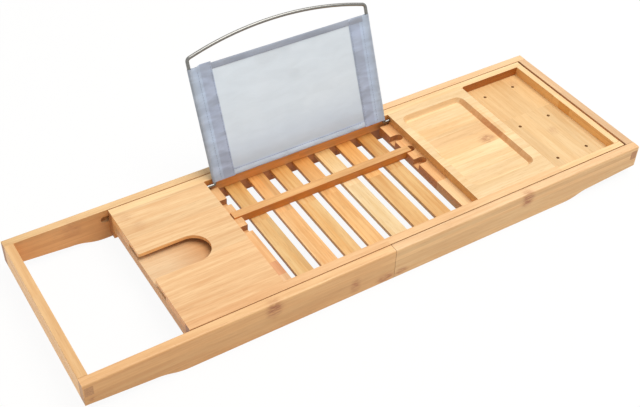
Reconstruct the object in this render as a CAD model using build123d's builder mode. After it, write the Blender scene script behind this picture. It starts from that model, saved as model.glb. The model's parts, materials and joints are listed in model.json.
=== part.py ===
from build123d import *
from math import asin, atan2, cos, degrees, hypot, radians, sin
import os

# Bath caddy in bamboo, millimetres. X runs along the length, Y from front to back, Z up.
# The origin is the middle of the underside of the box round the whole caddy.

# Outer frame, drawn closed: two U-shaped halves that meet at a seam in the middle
frame_length = 700
frame_width = 220
arm_thickness = 10.5
arm_depth = 40
end_bar_thickness = 10.2
seam_gap = 0.4
arm_round = 2
edge_round = 0.5

# The end of each arm is shallower and tapers, so that it lies on the rim of the bath
rim_end_depth = 28.5
rim_step_depth = 33.4
rim_length = 69
step_length = 39

# Through tenons of the end bars, flush with the outer faces of the arms
tenon_width = 9
tenon_height = 12
tenon_drop = 5

# Guide grooves inside the arms, and the pins of the tray that run in them
groove_height = 8
groove_depth = 5.5
groove_drop = 12.5
groove_pin_margin = 13.5
groove_inner_margin = 5
pin_diameter = 7
pin_seat = 8
pin_end_gap = 0.5
pin_inset = 100
pin_box_distance = 10

# Rubber grip strips, let into the underside of the arms' ends
grip_width = 6
grip_thickness = 1.6
grip_inlay = 0.8
grip_margin = 8

# Tray
opening_length = 104.8
tray_end_gap = 3
tray_side_gap = 1
rail_thickness = 10
rail_depth = 34
end_rail_thickness = 10

# Left deck, with a slot for the stem of a glass and a pocket below it for its foot
left_deck_length = 110.6
deck_thickness = 10
underboard_thickness = 12
slot_width = 40
slot_end_margin = 38.3
slot_mouth_round = 2
pocket_width = 89.3
pocket_roof = 4.2

# Right deck, with a shallow dished recess, rounded over where it ends at the soap box
right_deck_length = 115.4
recess_left_margin = 9.9
recess_right_margin = 15.2
recess_front_margin = 18.5
recess_back_margin = 12
recess_corner = 10
recess_depth = 5.8
recess_wall_slope = 35
deck_end_round = 4

# Slats of the bay
slat_count = 7
slat_gap_share = 0.32
slat_thickness = 4.4
slat_drop = 18.5
slat_left_margin = 25.3
slat_right_margin = 23.6
slat_tenon = 4

# Racks: notched battens under the edges of the two decks
rack_ledge = 14.2
rack_width = 25
rack_back_gap = 5
notch_count = 3
notch_pitch = 24.2
notch_back_margin = 32.5
notch_width = 10.4
notch_length = 13.5
notch_depth = 8
left_block_length = 38.5
right_block_length = 55.3

# Ledge bar that stands in one pair of notches
ledge_left_gap = 5.4
ledge_right_gap = 7.8
ledge_thickness = 10
ledge_height = 10
ledge_notch = 1

# Soap box, which fills the tray's right end
box_length = 96.3
box_height = 19
box_end_wall_thickness = 8.2
box_back_wall_thickness = 9
box_front_wall_thickness = 8
box_floor_thickness = 7.5
drain_diameter = 4
drain_back_shift = 1.3
drain_column_shares = (0.25, 0.76)
drain_row_shares = (-0.383, 0, 0.383)

# Reading rest: a bent wire on two feet, and a cloth on its legs
wire_diameter = 4
foot_gap_left = 11.8
foot_gap_right = 9.1
foot_length = 19
foot_bend = 2.6
foot_clearance = 0.05
foot_hole_depth = 13.5
pivot_back_gap = 4.85
leg_height = 145.8
arch_rise = 16.2
arch_bend = 4.5
sleeve_gap = 0.1
cloth_thickness = 0.4
panel_thickness = 0.8
lean_gap = 0.1
sleeve_start = 2.8
panel_start = -1.2
cloth_top_margin = 10

# Heights
deck_bottom = arm_depth - deck_thickness
underboard_bottom = deck_bottom - underboard_thickness
rail_bottom = arm_depth - rail_depth
slat_top = arm_depth - slat_drop
rim_end_bottom = arm_depth - rim_end_depth
rim_step_bottom = arm_depth - rim_step_depth
box_bottom = arm_depth - box_height
box_floor_top = box_bottom + box_floor_thickness
groove_z = arm_depth - groove_drop
notch_floor = deck_bottom - notch_depth

# Lengths along X
frame_left = -frame_length / 2
frame_right = frame_length / 2
tray_left = frame_left + end_bar_thickness + opening_length
tray_right = frame_right - end_bar_thickness - tray_end_gap
box_left = tray_right - box_length
left_deck_right = tray_left + left_deck_length
right_deck_right = box_left
right_deck_left = right_deck_right - right_deck_length
bay_length = right_deck_left - left_deck_right
bay_middle = (left_deck_right + right_deck_left) / 2
left_pin_x = tray_left + pin_inset
right_pin_x = box_left - pin_box_distance

# The rest leans on the top inner edge of the back rail, which settles its angle
wire_radius = wire_diameter / 2
sleeve_bore = wire_radius + sleeve_gap
sleeve_radius = sleeve_bore + cloth_thickness
pivot_drop = deck_thickness / 2
pivot_reach = hypot(pivot_back_gap, pivot_drop)
lean = degrees(atan2(pivot_drop, pivot_back_gap) + asin((sleeve_radius + lean_gap) / pivot_reach))
rest_reach = (leg_height + arch_rise) * cos(radians(lean)) + wire_radius

# Places along Y: the box round the caddy ends at the front face and at the tip of the rest
tray_margin = arm_thickness + tray_side_gap
pivot_from_middle = frame_width / 2 - tray_margin - rail_thickness - pivot_back_gap
middle_y = (frame_width / 2 - pivot_from_middle - rest_reach) / 2
front_face = middle_y - frame_width / 2
back_face = middle_y + frame_width / 2
tray_front = front_face + tray_margin
tray_back = back_face - tray_margin
bay_front = tray_front + rail_thickness
bay_back = tray_back - rail_thickness
bay_width = bay_back - bay_front
pivot_y = middle_y + pivot_from_middle
pivot_z = arm_depth - pivot_drop


def board(left, right, front, back, bottom, top, soft_axis=None):
    """A board between six faces, with its top edges along soft_axis eased."""
    with BuildPart() as piece:
        with BuildSketch(Plane.XY.offset(bottom)):
            with Locations(((left + right) / 2, (front + back) / 2)):
                Rectangle(right - left, back - front)
        extrude(amount=top - bottom)
        if soft_axis:
            fillet(piece.edges().group_by(Axis.Z)[-1].filter_by(soft_axis), edge_round)
    return piece


# Front arm of the left half: its outline, seen from the front, steps up towards the bath's rim
seam_x = -seam_gap / 2
step_start = frame_left + rim_length
step_end = step_start + step_length
taper = atan2(rim_end_bottom - rim_step_bottom, rim_length)
rim_plane = Plane(
    origin=(
        (frame_left + step_start) / 2,
        front_face + arm_thickness / 2,
        (rim_end_bottom + rim_step_bottom) / 2,
    ),
    x_dir=(cos(taper), 0, -sin(taper)),
    z_dir=(sin(taper), 0, cos(taper)),
)
grip_length = rim_length / cos(taper) - 2 * grip_margin
with BuildPart() as left_front_arm:
    with BuildSketch(Plane.XZ.offset(-front_face - arm_thickness)):
        with BuildLine():
            Polyline(
                (step_end, 0),
                (seam_x, 0),
                (seam_x, arm_depth),
                (frame_left, arm_depth),
                (frame_left, rim_end_bottom),
                (step_start, rim_step_bottom),
            )
            lower_arc = TangentArc(
                (step_end, 0),
                ((step_start + step_end) / 2, rim_step_bottom / 2),
                tangent=(-1, 0),
            )
            TangentArc(lower_arc @ 1, (step_start, rim_step_bottom), tangent=lower_arc % 1)
        make_face()
    extrude(amount=arm_thickness)
    upper_edges = left_front_arm.edges().filter_by(Axis.X).filter_by_position(
        Axis.Z, arm_depth, arm_depth
    )
    fillet(upper_edges.sort_by(Axis.Y)[0], arm_round)
    upper_edges = left_front_arm.edges().filter_by(Axis.X).filter_by_position(
        Axis.Z, arm_depth, arm_depth
    )
    fillet(upper_edges.sort_by(Axis.Y)[-1], edge_round)

    # Groove on the inner face
    groove_left = -right_pin_x - groove_pin_margin
    groove_right = seam_x - groove_inner_margin
    with BuildSketch(Plane.XZ.offset(-front_face - arm_thickness)):
        with Locations(((groove_left + groove_right) / 2, groove_z)):
            SlotOverall(groove_right - groove_left, groove_height)
    extrude(amount=groove_depth, mode=Mode.SUBTRACT)

    # Mortise for the tenon of the end bar
    tenon_x = frame_left + end_bar_thickness - tenon_width / 2
    tenon_z = arm_depth - tenon_drop - tenon_height / 2
    with BuildSketch(Plane.XZ.offset(-front_face - arm_thickness)):
        with Locations((tenon_x, tenon_z)):
            Rectangle(tenon_width, tenon_height)
    extrude(amount=arm_thickness, mode=Mode.SUBTRACT)

    # Shallow inlay under the end for the grip strip
    with BuildSketch(rim_plane):
        Rectangle(grip_length, grip_width)
    extrude(amount=grip_inlay, mode=Mode.SUBTRACT)

with BuildPart() as left_back_arm:
    mirror(left_front_arm.part, about=Plane.XZ.offset(-middle_y))

with BuildPart() as right_front_arm:
    mirror(left_front_arm.part, about=Plane.YZ)

with BuildPart() as right_back_arm:
    mirror(left_back_arm.part, about=Plane.YZ)

# End bar with a tenon through each arm
with BuildPart() as left_end_bar:
    with BuildSketch(Plane.XZ.offset(-back_face + arm_thickness)):
        with Locations((frame_left + end_bar_thickness / 2, arm_depth - rim_end_depth / 2)):
            Rectangle(end_bar_thickness, rim_end_depth)
    extrude(amount=frame_width - 2 * arm_thickness)
    bar_edges = left_end_bar.edges().filter_by(Axis.Y).group_by(Axis.Z)[-1]
    fillet(bar_edges, edge_round)
    with BuildSketch(Plane.XZ.offset(-back_face)):
        with Locations((tenon_x, tenon_z)):
            Rectangle(tenon_width, tenon_height)
    extrude(amount=frame_width)

with BuildPart() as right_end_bar:
    mirror(left_end_bar.part, about=Plane.YZ)

# Grip strips under the ends of both arms of a half
with BuildPart() as left_grip_strips:
    with BuildSketch(rim_plane.offset(grip_inlay - grip_thickness)):
        Rectangle(grip_length, grip_width)
    extrude(amount=grip_thickness)
    mirror(about=Plane.XZ.offset(-middle_y))

with BuildPart() as right_grip_strips:
    mirror(left_grip_strips.part, about=Plane.YZ)

# Slats: they share the bay between its margins, each with the same part of its pitch left open
slat_span = bay_length - slat_left_margin - slat_right_margin
slat_pitch = slat_span / (slat_count - slat_gap_share)
slat_width = slat_pitch * (1 - slat_gap_share)
slat_middles = [
    left_deck_right + slat_left_margin + slat_width / 2 + number * slat_pitch
    for number in range(slat_count)
]
slats = []
for slat_middle in slat_middles:
    slats.append(
        board(
            slat_middle - slat_width / 2,
            slat_middle + slat_width / 2,
            bay_front - slat_tenon,
            bay_back + slat_tenon,
            slat_top - slat_thickness,
            slat_top,
            soft_axis=Axis.Y,
        )
    )

# Front rail of the tray, lowered under the soap box, with a mortise for each slat
with BuildPart() as tray_front_rail:
    with BuildSketch(Plane.XZ.offset(-bay_front)):
        with BuildLine():
            Polyline(
                (tray_left, rail_bottom),
                (tray_right, rail_bottom),
                (tray_right, box_bottom),
                (right_deck_right, box_bottom),
                (right_deck_right, arm_depth),
                (tray_left, arm_depth),
                close=True,
            )
        make_face()
    extrude(amount=rail_thickness)
    rail_edges = tray_front_rail.edges().filter_by(Axis.X).filter_by_position(
        Axis.Z, arm_depth, arm_depth
    )
    fillet(rail_edges.sort_by(Axis.Y)[0], edge_round)
    with BuildSketch(Plane.XZ.offset(-bay_front)):
        for slat_middle in slat_middles:
            with Locations((slat_middle, slat_top - slat_thickness / 2)):
                Rectangle(slat_width, slat_thickness)
    extrude(amount=slat_tenon, mode=Mode.SUBTRACT)
    with BuildSketch(Plane.XZ.offset(-tray_front)):
        with Locations((left_pin_x, groove_z), (right_pin_x, groove_z)):
            Circle(pin_diameter / 2)
    extrude(amount=-pin_seat, mode=Mode.SUBTRACT)

with BuildPart() as tray_back_rail:
    mirror(tray_front_rail.part, about=Plane.XZ.offset(-middle_y))

tray_end_rail = board(
    tray_right - end_rail_thickness, tray_right, bay_front, bay_back, rail_bottom, box_bottom
)

# Guide pins: each crosses the side gap and ends just short of the groove's bottom
pin_reach = tray_side_gap + groove_depth - pin_end_gap
with BuildPart() as guide_pins:
    with BuildSketch(Plane.XZ.offset(-tray_front - pin_seat)):
        with Locations((left_pin_x, groove_z), (right_pin_x, groove_z)):
            Circle(pin_diameter / 2)
    extrude(amount=pin_seat + pin_reach)
    mirror(about=Plane.XZ.offset(-middle_y))

# Left deck: the slot is open at the end face, and the wider pocket below it is too
slot_tip = left_deck_right - slot_end_margin
slot_centre = slot_tip - slot_width / 2
hole_radius = wire_radius + foot_clearance
with BuildPart() as left_deck:
    with BuildSketch(Plane.XY.offset(deck_bottom)):
        with Locations(((tray_left + left_deck_right) / 2, middle_y)):
            Rectangle(left_deck_length, bay_width)
        with Locations((slot_centre, middle_y)):
            Circle(slot_width / 2, mode=Mode.SUBTRACT)
        with Locations(((tray_left + slot_centre) / 2, middle_y)):
            Rectangle(slot_centre - tray_left, slot_width, mode=Mode.SUBTRACT)
    extrude(amount=deck_thickness)
    mouth_edges = (
        left_deck.edges()
        .filter_by(Axis.Z)
        .filter_by_position(Axis.X, tray_left, tray_left)
        .filter_by_position(Axis.Y, middle_y - slot_width / 2, middle_y + slot_width / 2)
    )
    fillet(mouth_edges, slot_mouth_round)
    with BuildSketch(Plane.XY.offset(deck_bottom)):
        with Locations((slot_centre, middle_y)):
            Circle(pocket_width / 2)
        with Locations(((tray_left + slot_centre) / 2, middle_y)):
            Rectangle(slot_centre - tray_left, pocket_width)
    extrude(amount=deck_thickness - pocket_roof, mode=Mode.SUBTRACT)
    with BuildSketch(Plane.YZ.offset(left_deck_right)):
        with Locations((pivot_y, pivot_z)):
            Circle(hole_radius)
    extrude(amount=-foot_hole_depth, mode=Mode.SUBTRACT)

left_underboard = board(
    tray_left,
    left_deck_right + rack_ledge - rack_width,
    bay_front,
    bay_back,
    underboard_bottom,
    deck_bottom,
)

# Right deck with its recess
recess_left = right_deck_left + recess_left_margin
recess_right = right_deck_right - recess_right_margin
recess_front = bay_front + recess_front_margin
recess_back = bay_back - recess_back_margin
with BuildPart() as right_deck:
    with BuildSketch(Plane.XY.offset(deck_bottom)):
        with Locations(((right_deck_left + right_deck_right) / 2, middle_y)):
            Rectangle(right_deck_length, bay_width)
    extrude(amount=deck_thickness)
    end_edges = right_deck.edges().filter_by(Axis.Y).filter_by_position(
        Axis.Z, arm_depth, arm_depth
    )
    fillet(end_edges.sort_by(Axis.X)[-1], deck_end_round)
    with BuildSketch(Plane.XY.offset(arm_depth)):
        with Locations(((recess_left + recess_right) / 2, (recess_front + recess_back) / 2)):
            RectangleRounded(
                recess_right - recess_left,
                recess_back - recess_front,
                recess_corner,
            )
    extrude(amount=-recess_depth, taper=recess_wall_slope, mode=Mode.SUBTRACT)
    with BuildSketch(Plane.YZ.offset(right_deck_left)):
        with Locations((pivot_y, pivot_z)):
            Circle(hole_radius)
    extrude(amount=foot_hole_depth, mode=Mode.SUBTRACT)

right_underboard = board(
    right_deck_left - rack_ledge + rack_width,
    right_deck_right,
    bay_front,
    bay_back,
    underboard_bottom,
    deck_bottom,
)

# Racks: notches with round inner ends, counted from the back, and a plain block at the front
notch_places = [
    bay_back - notch_back_margin - number * notch_pitch for number in range(notch_count)
]
rack_back = bay_back - rack_back_gap
left_block_back = bay_front + left_block_length
right_block_back = bay_front + right_block_length
left_rack_right = left_deck_right + rack_ledge
left_rack_left = left_rack_right - rack_width
right_rack_left = right_deck_left - rack_ledge
right_rack_right = right_rack_left + rack_width
with BuildPart() as left_rack:
    with BuildSketch(Plane.XY.offset(underboard_bottom)):
        with Locations(
            ((left_rack_left + left_rack_right) / 2, (left_block_back + rack_back) / 2)
        ):
            Rectangle(rack_width, rack_back - left_block_back)
    extrude(amount=underboard_thickness)
    with BuildSketch(Plane.XY.offset(deck_bottom)):
        for notch_y in notch_places:
            with Locations((left_rack_right, notch_y)):
                SlotOverall(2 * notch_length, notch_width)
    extrude(amount=-notch_depth, mode=Mode.SUBTRACT)

with BuildPart() as right_rack:
    with BuildSketch(Plane.XY.offset(underboard_bottom)):
        with Locations(
            ((right_rack_left + right_rack_right) / 2, (right_block_back + rack_back) / 2)
        ):
            Rectangle(rack_width, rack_back - right_block_back)
    extrude(amount=underboard_thickness)
    with BuildSketch(Plane.XY.offset(deck_bottom)):
        for notch_y in notch_places:
            with Locations((right_rack_left, notch_y)):
                SlotOverall(2 * notch_length, notch_width)
    extrude(amount=-notch_depth, mode=Mode.SUBTRACT)

left_rack_block = board(
    left_rack_left, left_rack_right, bay_front, left_block_back, underboard_bottom, deck_bottom
)
right_rack_block = board(
    right_rack_left, right_rack_right, bay_front, right_block_back, underboard_bottom, deck_bottom
)

# Ledge bar in its pair of notches
ledge_y = notch_places[ledge_notch]
ledge_bar = board(
    left_deck_right + ledge_left_gap,
    right_deck_left - ledge_right_gap,
    ledge_y - ledge_thickness / 2,
    ledge_y + ledge_thickness / 2,
    notch_floor,
    notch_floor + ledge_height,
    soft_axis=Axis.X,
)

# Soap box: the edge of the right deck closes it on the left, and three walls on the other sides
box_inner_right = tray_right - box_end_wall_thickness
box_inner_front = tray_front + box_front_wall_thickness
box_inner_back = tray_back - box_back_wall_thickness
box_front_wall = board(
    box_left, tray_right, tray_front, box_inner_front, box_bottom, arm_depth, soft_axis=Axis.X
)
box_back_wall = board(
    box_left, tray_right, box_inner_back, tray_back, box_bottom, arm_depth, soft_axis=Axis.X
)
box_end_wall = board(
    box_inner_right,
    tray_right,
    box_inner_front,
    box_inner_back,
    box_bottom,
    arm_depth,
    soft_axis=Axis.Y,
)
box_inner_length = box_inner_right - box_left
box_inner_width = box_inner_back - box_inner_front
drain_middle = (box_inner_front + box_inner_back) / 2 + drain_back_shift
with BuildPart() as box_floor:
    with BuildSketch(Plane.XY.offset(box_bottom)):
        with Locations(
            ((box_left + box_inner_right) / 2, (box_inner_front + box_inner_back) / 2)
        ):
            Rectangle(box_inner_length, box_inner_width)
    extrude(amount=box_floor_thickness)
    for column_share in drain_column_shares:
        for row_share in drain_row_shares:
            drain_x = box_left + column_share * box_inner_length
            drain_y = drain_middle + row_share * box_inner_width
            with Locations((drain_x, drain_y, box_floor_top)):
                Hole(drain_diameter / 2, depth=box_floor_thickness)

# Reading rest, drawn in the plane in which it leans
left_leg_x = left_deck_right + foot_gap_left
right_leg_x = right_deck_left - foot_gap_right
leg_spacing = right_leg_x - left_leg_x
half_spacing = leg_spacing / 2
rest_plane = Plane(
    origin=((left_leg_x + right_leg_x) / 2, pivot_y, pivot_z),
    x_dir=(1, 0, 0),
    z_dir=(0, -sin(radians(lean)), cos(radians(lean))),
)
lean_axis = Axis(rest_plane.origin, rest_plane.y_dir)
with BuildPart() as rest_wire:
    with BuildLine(rest_plane) as wire_path:
        Polyline(
            (-half_spacing - foot_length, 0),
            (-half_spacing, 0),
            (-half_spacing, leg_height),
        )
        ThreePointArc(
            (-half_spacing, leg_height), (0, leg_height + arch_rise), (half_spacing, leg_height)
        )
        Polyline(
            (half_spacing, leg_height),
            (half_spacing, 0),
            (half_spacing + foot_length, 0),
        )
        fillet(wire_path.vertices().group_by(lean_axis)[-1], arch_bend)
        fillet(wire_path.vertices().group_by(lean_axis)[0].sort_by(Axis.X)[1:-1], foot_bend)
    with BuildSketch(Plane.YZ.offset(left_leg_x - foot_length)):
        with Locations((pivot_y, pivot_z)):
            Circle(wire_radius)
    sweep(path=wire_path.line)

# Cloth: a panel between two sleeves that slip over the legs and end below the arch
cloth_top = leg_height - cloth_top_margin
lean_direction = (0, cos(radians(lean)), sin(radians(lean)))
panel_plane = Plane(
    origin=rest_plane.from_local_coords((0, panel_start, 0)),
    x_dir=(1, 0, 0),
    z_dir=lean_direction,
)
with BuildPart() as rest_cloth:
    with BuildSketch(panel_plane):
        Rectangle(leg_spacing - 2 * sleeve_bore, panel_thickness)
    extrude(amount=cloth_top - panel_start)
    with BuildSketch(panel_plane.offset(sleeve_start - panel_start)):
        with Locations((-half_spacing, 0), (half_spacing, 0)):
            Circle(sleeve_radius)
    extrude(amount=cloth_top - sleeve_start)
    with BuildSketch(panel_plane):
        with Locations((-half_spacing, 0), (half_spacing, 0)):
            Circle(sleeve_bore)
    extrude(amount=cloth_top - panel_start, mode=Mode.SUBTRACT)

pieces = {
    "left_front_arm": left_front_arm,
    "left_back_arm": left_back_arm,
    "left_end_bar": left_end_bar,
    "left_grip_strips": left_grip_strips,
    "right_front_arm": right_front_arm,
    "right_back_arm": right_back_arm,
    "right_end_bar": right_end_bar,
    "right_grip_strips": right_grip_strips,
    "tray_front_rail": tray_front_rail,
    "tray_back_rail": tray_back_rail,
    "tray_end_rail": tray_end_rail,
    "guide_pins": guide_pins,
    "left_deck": left_deck,
    "left_underboard": left_underboard,
    "left_rack": left_rack,
    "left_rack_block": left_rack_block,
    "right_rack": right_rack,
    "right_rack_block": right_rack_block,
    "right_deck": right_deck,
    "right_underboard": right_underboard,
    "ledge_bar": ledge_bar,
    "box_front_wall": box_front_wall,
    "box_back_wall": box_back_wall,
    "box_end_wall": box_end_wall,
    "box_floor": box_floor,
    "rest_wire": rest_wire,
    "rest_cloth": rest_cloth,
}
for number, slat in enumerate(slats, start=1):
    pieces[f"slat_{number}"] = slat

os.makedirs("parts", exist_ok=True)
for name, piece in pieces.items():
    piece.part.label = name
    export_step(piece.part, f"parts/{name}.step")

print(f"lean of the rest {lean:.2f} degrees, {slat_count} slats at a pitch of {slat_pitch:.2f} mm")
print(f"middle of the frame at Y {middle_y:.3f}, pivot at {pivot_y:.3f}, {pivot_z:.3f}")
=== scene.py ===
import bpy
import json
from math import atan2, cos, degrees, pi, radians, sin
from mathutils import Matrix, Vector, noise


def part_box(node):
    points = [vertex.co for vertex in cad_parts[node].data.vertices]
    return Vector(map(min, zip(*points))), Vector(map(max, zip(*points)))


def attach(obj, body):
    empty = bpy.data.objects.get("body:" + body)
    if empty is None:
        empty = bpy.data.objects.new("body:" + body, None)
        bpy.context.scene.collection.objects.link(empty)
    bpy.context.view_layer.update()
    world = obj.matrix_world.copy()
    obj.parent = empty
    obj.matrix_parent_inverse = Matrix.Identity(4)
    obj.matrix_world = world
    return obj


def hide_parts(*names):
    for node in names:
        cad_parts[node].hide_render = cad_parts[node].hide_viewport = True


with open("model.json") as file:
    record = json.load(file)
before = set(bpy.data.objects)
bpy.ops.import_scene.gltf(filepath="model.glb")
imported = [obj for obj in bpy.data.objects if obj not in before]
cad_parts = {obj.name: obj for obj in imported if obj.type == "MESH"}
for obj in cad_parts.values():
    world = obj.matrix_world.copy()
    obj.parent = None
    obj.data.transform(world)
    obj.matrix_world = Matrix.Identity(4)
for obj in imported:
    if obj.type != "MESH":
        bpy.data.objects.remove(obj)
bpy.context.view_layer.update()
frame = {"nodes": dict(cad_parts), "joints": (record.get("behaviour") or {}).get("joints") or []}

# %% [markdown]
# # A bamboo bath caddy with a reading rest
#
# A bath caddy is a tray that lies across a bath. Two U-shaped halves slide apart until their ends lie on
# the rim, and a tray inside them carries a slot for a glass, a slatted bay with a reading rest, a shallow
# recess and a drained soap box. The exact wooden and steel parts are loaded above as a fixed frame. The
# cells below give them grain, varnish and steel, sew the cloth of the rest, and light the whole thing.
#
# The first step loads the parts and the record of the model, and moves each part into world coordinates.

# %% [markdown]
# ## Units
#
# Everything in this file is in metres, but a maker thinks in millimetres. One helper turns millimetres
# into metres, so that a size in the text reads as it would on a drawing.

# %% Millimetres
def mm(value):
    return value / 1000


print("a lath of 20 mm is", mm(20), "m")

# %% [markdown]
# ## Camera
#
# The picture was taken from the front left and above, with a short telephoto lens. A camera could be
# aimed by eye, but then no edge would fall quite where it should. This one is set from a fit to the
# corners of the frame: a place, and three rows that hold its direction, elevation and slight roll.

# %% Camera at the picture's viewing angle
camera_place = Vector((mm(-496.85), mm(-734.74), mm(807.32)))
camera_turn = Matrix((
    (0.849682, 0.334821, -0.407353),
    (-0.526476, 0.581756, -0.619986),
    (0.029395, 0.741252, 0.670582),
)).to_4x4()
camera_data = bpy.data.cameras.new("picture_camera")
camera_data.lens = 58.72
camera_data.sensor_width = 36
camera_data.clip_start = mm(20)
camera = bpy.data.objects.new("picture_camera", camera_data)
camera.matrix_world = Matrix.Translation(camera_place) @ camera_turn
bpy.context.scene.collection.objects.link(camera)
bpy.context.scene.camera = camera

# %% [markdown]
# ## Colours
#
# Colours are picked as sRGB hex values, as on a paint chart, but Blender's shaders work in linear light.
# One function turns the first into the second.

# %% Colour helper
def linear(hex_colour):
    parts = [int(hex_colour[i:i + 2], 16) / 255 for i in (1, 3, 5)]
    return tuple(p / 12.92 if p <= 0.04045 else ((p + 0.055) / 1.055) ** 2.4 for p in parts) + (1.0,)


print("pale bamboo in linear light:", [round(c, 3) for c in linear("#F0CB8E")])

# %% [markdown]
# ## Shader nodes
#
# Every finish here is a small graph of shader nodes. One function adds a node, sets its properties, and
# fills each input either with a value or with a link from another node. An input is called by its name, or
# by an underscore and its number where several share a name. A colour mix, for one, takes its share as _0
# and its two colours as _6 and _7, and gives the result as output 2.
#
# A second helper starts a finish: a new material whose graph is still empty. A third does a step that many
# finishes need: it multiplies a colour by a tint where a share says so.

# %% Node helpers
def add_node(tree, kind, settings=None, **inputs):
    node = tree.nodes.new("ShaderNode" + kind)
    for name, value in (settings or {}).items():
        setattr(node, name, value)
    for name, value in inputs.items():
        socket = node.inputs[int(name[1:])] if name[1:].isdigit() else node.inputs[name.replace("_", " ")]
        if isinstance(value, bpy.types.NodeSocket):
            tree.links.new(value, socket)
        else:
            socket.default_value = value
    return node


def empty_finish(name):
    material = bpy.data.materials.new(name)
    material.use_nodes = True
    material.node_tree.nodes.clear()
    return material, material.node_tree


def tint_where(tree, share, colour, tint):
    tinted = add_node(tree, "VectorMath", {"operation": "MULTIPLY"}, _0=colour, _1=tint)
    return add_node(
        tree, "Mix", {"data_type": "RGBA"}, _0=share, _6=colour, _7=tinted.outputs[0]
    ).outputs[2]


print("three helpers add a node, start a finish and lay a tint on it")

# %% [markdown]
# ## Bamboo
#
# The wood is laminated bamboo: canes are split, planed into strips about 20 mm wide and 5 mm thick, and
# glued side by side. That gives the eye three things. Each strip has its own tone, fine fibres run along
# it with hardly any figure across, and where a cane had a joint there is a short brown mark. A satin
# water-based varnish fills the surface, so the gloss is soft and even.
#
# A picture of a board could be wrapped round each part, but it would stretch at the edges and give every
# part the same marks. Here the pattern is worked out instead, from each part's own coordinates in
# millimetres, so it runs through the wood as real grain does and meets itself at every edge.
#
# ### Strips
#
# The coordinates are turned so that the first axis runs along the grain. Snapping the other two to the
# width and the thickness of a strip gives all points of one strip the same numbers. White noise made from
# these numbers draws that strip's tone and shifts its figure against its neighbours'. Along the grain the
# step is longer than any part, so a strip changes only at zero, the middle of the caddy, where two lengths
# of cane meet end to end.

# %% Strips of cane
GRAIN_TURN = {"X": (0, 0, 0), "Y": (0, 0, -pi / 2)}
LONGER_THAN_ANY_PART = 9000
FIRST_SEAM_ACROSS = 7.3
FIRST_SEAM_DEEP = 1.9
STRIP_SHIFT = (400, 60, 60)


def strips_of_cane(tree, grain, seed, strip, layer):
    place = add_node(tree, "TexCoord")
    turned = add_node(
        tree, "Mapping",
        Vector=place.outputs["Object"], Rotation=GRAIN_TURN[grain], Scale=(1000, 1000, 1000),
    ).outputs[0]
    moved = add_node(
        tree, "VectorMath", {"operation": "ADD"},
        _0=turned, _1=(0, FIRST_SEAM_ACROSS + seed, FIRST_SEAM_DEEP),
    )
    cell = add_node(
        tree, "VectorMath", {"operation": "SNAP"},
        _0=moved.outputs[0], _1=(LONGER_THAN_ANY_PART, strip, layer),
    )
    seeded = add_node(tree, "VectorMath", {"operation": "ADD"}, _0=cell.outputs[0], _1=(seed, seed, seed))
    chance = add_node(tree, "TexWhiteNoise", Vector=seeded.outputs[0])
    shifted = add_node(
        tree, "VectorMath", {"operation": "MULTIPLY_ADD"},
        _0=chance.outputs["Color"], _1=STRIP_SHIFT, _2=turned,
    )
    return place, turned, chance, shifted.outputs[0]


print("strips can be laid along", ", ".join(GRAIN_TURN))

# %% [markdown]
# ### Streaks and fibres
#
# One kind of noise serves for all the figure, drawn out along the grain by different amounts. The numbers
# say how many waves fit in a millimetre along, across and through the strip: streaks are 100 mm long and
# 4.5 mm wide, the slow change of tone 80 mm by 20 mm, and the dark dashes of the vessel bundles, in the
# next step, 13 mm by 0.7 mm. Real fibres are 0.2 mm apart, too fine for this picture, so they are drawn
# 1.2 mm apart and faint.

# %% Figure of the grain
STREAKS_PER_MM = (0.010, 0.22, 0.22)
FIBRES_PER_MM = (0.035, 0.85, 0.85)
SLOW_WAVES_PER_MM = (0.012, 0.05, 0.05)
STREAK_WEIGHT, FIBRE_WEIGHT, SLOW_WEIGHT = 0.58, 0.17, 0.25


def stretched_noise(tree, where, waves_per_mm, **inputs):
    stretched = add_node(tree, "VectorMath", {"operation": "MULTIPLY"}, _0=where, _1=waves_per_mm)
    return add_node(tree, "TexNoise", Vector=stretched.outputs[0], **inputs)


def grain_figure(tree, shifted):
    streak = stretched_noise(
        tree, shifted, STREAKS_PER_MM, Scale=1.0, Detail=4.0, Roughness=0.62, Distortion=0.25
    )
    fibre = stretched_noise(tree, shifted, FIBRES_PER_MM, Scale=1.0, Detail=3.0, Roughness=0.7)
    slow = stretched_noise(tree, shifted, SLOW_WAVES_PER_MM, Scale=1.0, Detail=2.0)
    mixed = add_node(tree, "Math", {"operation": "MULTIPLY"}, _0=fibre.outputs[0], _1=FIBRE_WEIGHT)
    for figure, weight in ((streak, STREAK_WEIGHT), (slow, SLOW_WEIGHT)):
        mixed = add_node(
            tree, "Math", {"operation": "MULTIPLY_ADD"},
            _0=figure.outputs[0], _1=weight, _2=mixed.outputs[0],
        )
    share = add_node(
        tree, "MapRange", {"interpolation_type": "SMOOTHSTEP"},
        Value=mixed.outputs[0], From_Min=0.36, From_Max=0.64,
    )
    return share.outputs[0], fibre


print("streaks", round(1 / STREAKS_PER_MM[0]), "mm long, fibres", round(1 / FIBRES_PER_MM[1], 1), "mm apart")

# %% [markdown]
# ### Tone of each strip
#
# The figure mixes a pale and a warm tone. Then each strip becomes a little lighter or darker than the
# next, which is what shows most on a real board, and the dashes are laid over it.

# %% Tone of a strip
DASHES_PER_MM = (0.06, 1.1, 1.1)
DARKEST_STRIP, LIGHTEST_STRIP = 0.07, 0.05
VESSEL_BROWN = "#A5713E"


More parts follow.
